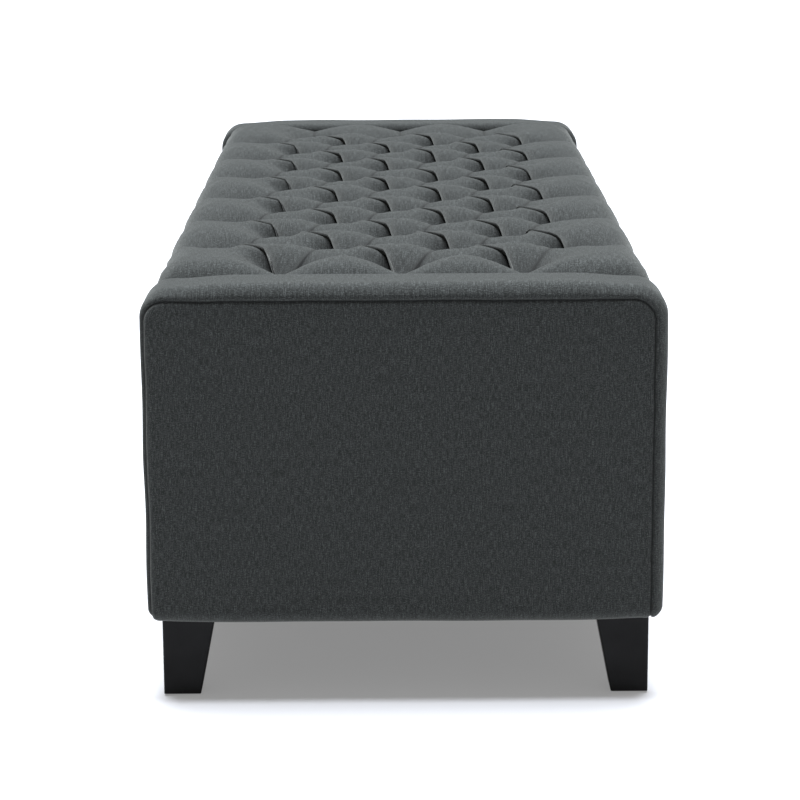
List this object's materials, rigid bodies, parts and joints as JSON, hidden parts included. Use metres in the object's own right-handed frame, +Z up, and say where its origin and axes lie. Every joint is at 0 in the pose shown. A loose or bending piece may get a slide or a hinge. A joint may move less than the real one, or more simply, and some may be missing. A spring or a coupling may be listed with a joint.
{
  "type": "upholstered storage bench",
  "caption": "Long upholstered storage bench with padded slab ends, a deep diamond-tufted hinged lid over an open box, and short tapered legs.",
  "frame": {"origin": "on the floor, under the centre of the bench", "axes": "+X along the bench, +Y towards the hinged back, +Z up"},
  "size_m": [1.27, 0.495, 0.412],
  "materials": {
    "linen_weave": "matte",
    "cushion_foam": "matte",
    "lining_cloth": "matte",
    "waxed_twine": "matte",
    "pine_timber": "sawn",
    "plywood": "sanded",
    "hardboard": "smooth",
    "black_stained_wood": "satin lacquer",
    "zinc_plated_steel": "zinc plated",
    "black_nylon": "matte"
  },
  "bodies": {
    "box": {"back_cleat_screws": "zinc_plated_steel", "back_floor_cleat": "pine_timber", "back_left_leg": "black_stained_wood", "back_rail_board": "plywood", "back_rail_cover": "linen_weave", "back_rail_foam": "cushion_foam", "back_right_leg": "black_stained_wood", "dust_cover": "lining_cloth", "floor_batten_1": "pine_timber", "floor_batten_2": "pine_timber", "floor_batten_3": "pine_timber", "floor_board": "plywood", "floor_screws": "zinc_plated_steel", "front_cleat_screws": "zinc_plated_steel", "front_floor_cleat": "pine_timber", "front_left_leg": "black_stained_wood", "front_rail_board": "plywood", "front_rail_cover": "linen_weave", "front_rail_foam": "cushion_foam", "front_right_leg": "black_stained_wood", "hinge_rail_screws": "zinc_plated_steel", "left_end_back_post": "pine_timber", "left_end_bottom_timber": "pine_timber", "left_end_cover": "linen_weave", "left_end_foam": "cushion_foam", "left_end_frame_screws": "zinc_plated_steel", "left_end_front_post": "pine_timber", "left_end_inner_panel": "hardboard", "left_end_outer_panel": "hardboard", "left_end_top_timber": "pine_timber", "left_hinge_pin": "zinc_plated_steel", "left_hinge_rail_leaf": "zinc_plated_steel", "leg_bolts": "zinc_plated_steel", "leg_glides": "black_nylon", "leg_inserts": "zinc_plated_steel", "right_end_back_post": "pine_timber", "right_end_bottom_timber": "pine_timber", "right_end_cover": "linen_weave", "right_end_foam": "cushion_foam", "right_end_frame_screws": "zinc_plated_steel", "right_end_front_post": "pine_timber", "right_end_inner_panel": "hardboard", "right_end_outer_panel": "hardboard", "right_end_top_timber": "pine_timber", "right_hinge_pin": "zinc_plated_steel", "right_hinge_rail_leaf": "zinc_plated_steel", "storage_lining": "lining_cloth"},
    "lid": {"hinge_lid_screws": "zinc_plated_steel", "left_hinge_lid_leaf": "zinc_plated_steel", "lid_board": "plywood", "lid_cover": "linen_weave", "lid_foam": "cushion_foam", "lid_lining": "lining_cloth", "right_hinge_lid_leaf": "zinc_plated_steel", "tuft_buttons": "black_nylon", "tuft_twines": "waxed_twine", "tuft_washers": "zinc_plated_steel"}
  },
  "joints": [
    {"name": "lid_hinge", "type": "hinge", "parent": "box", "child": "lid", "pos_m": [0, 0.2415, 0.32775], "axis": [-1, 0, 0], "range_deg": [0, 100]}
  ]
}
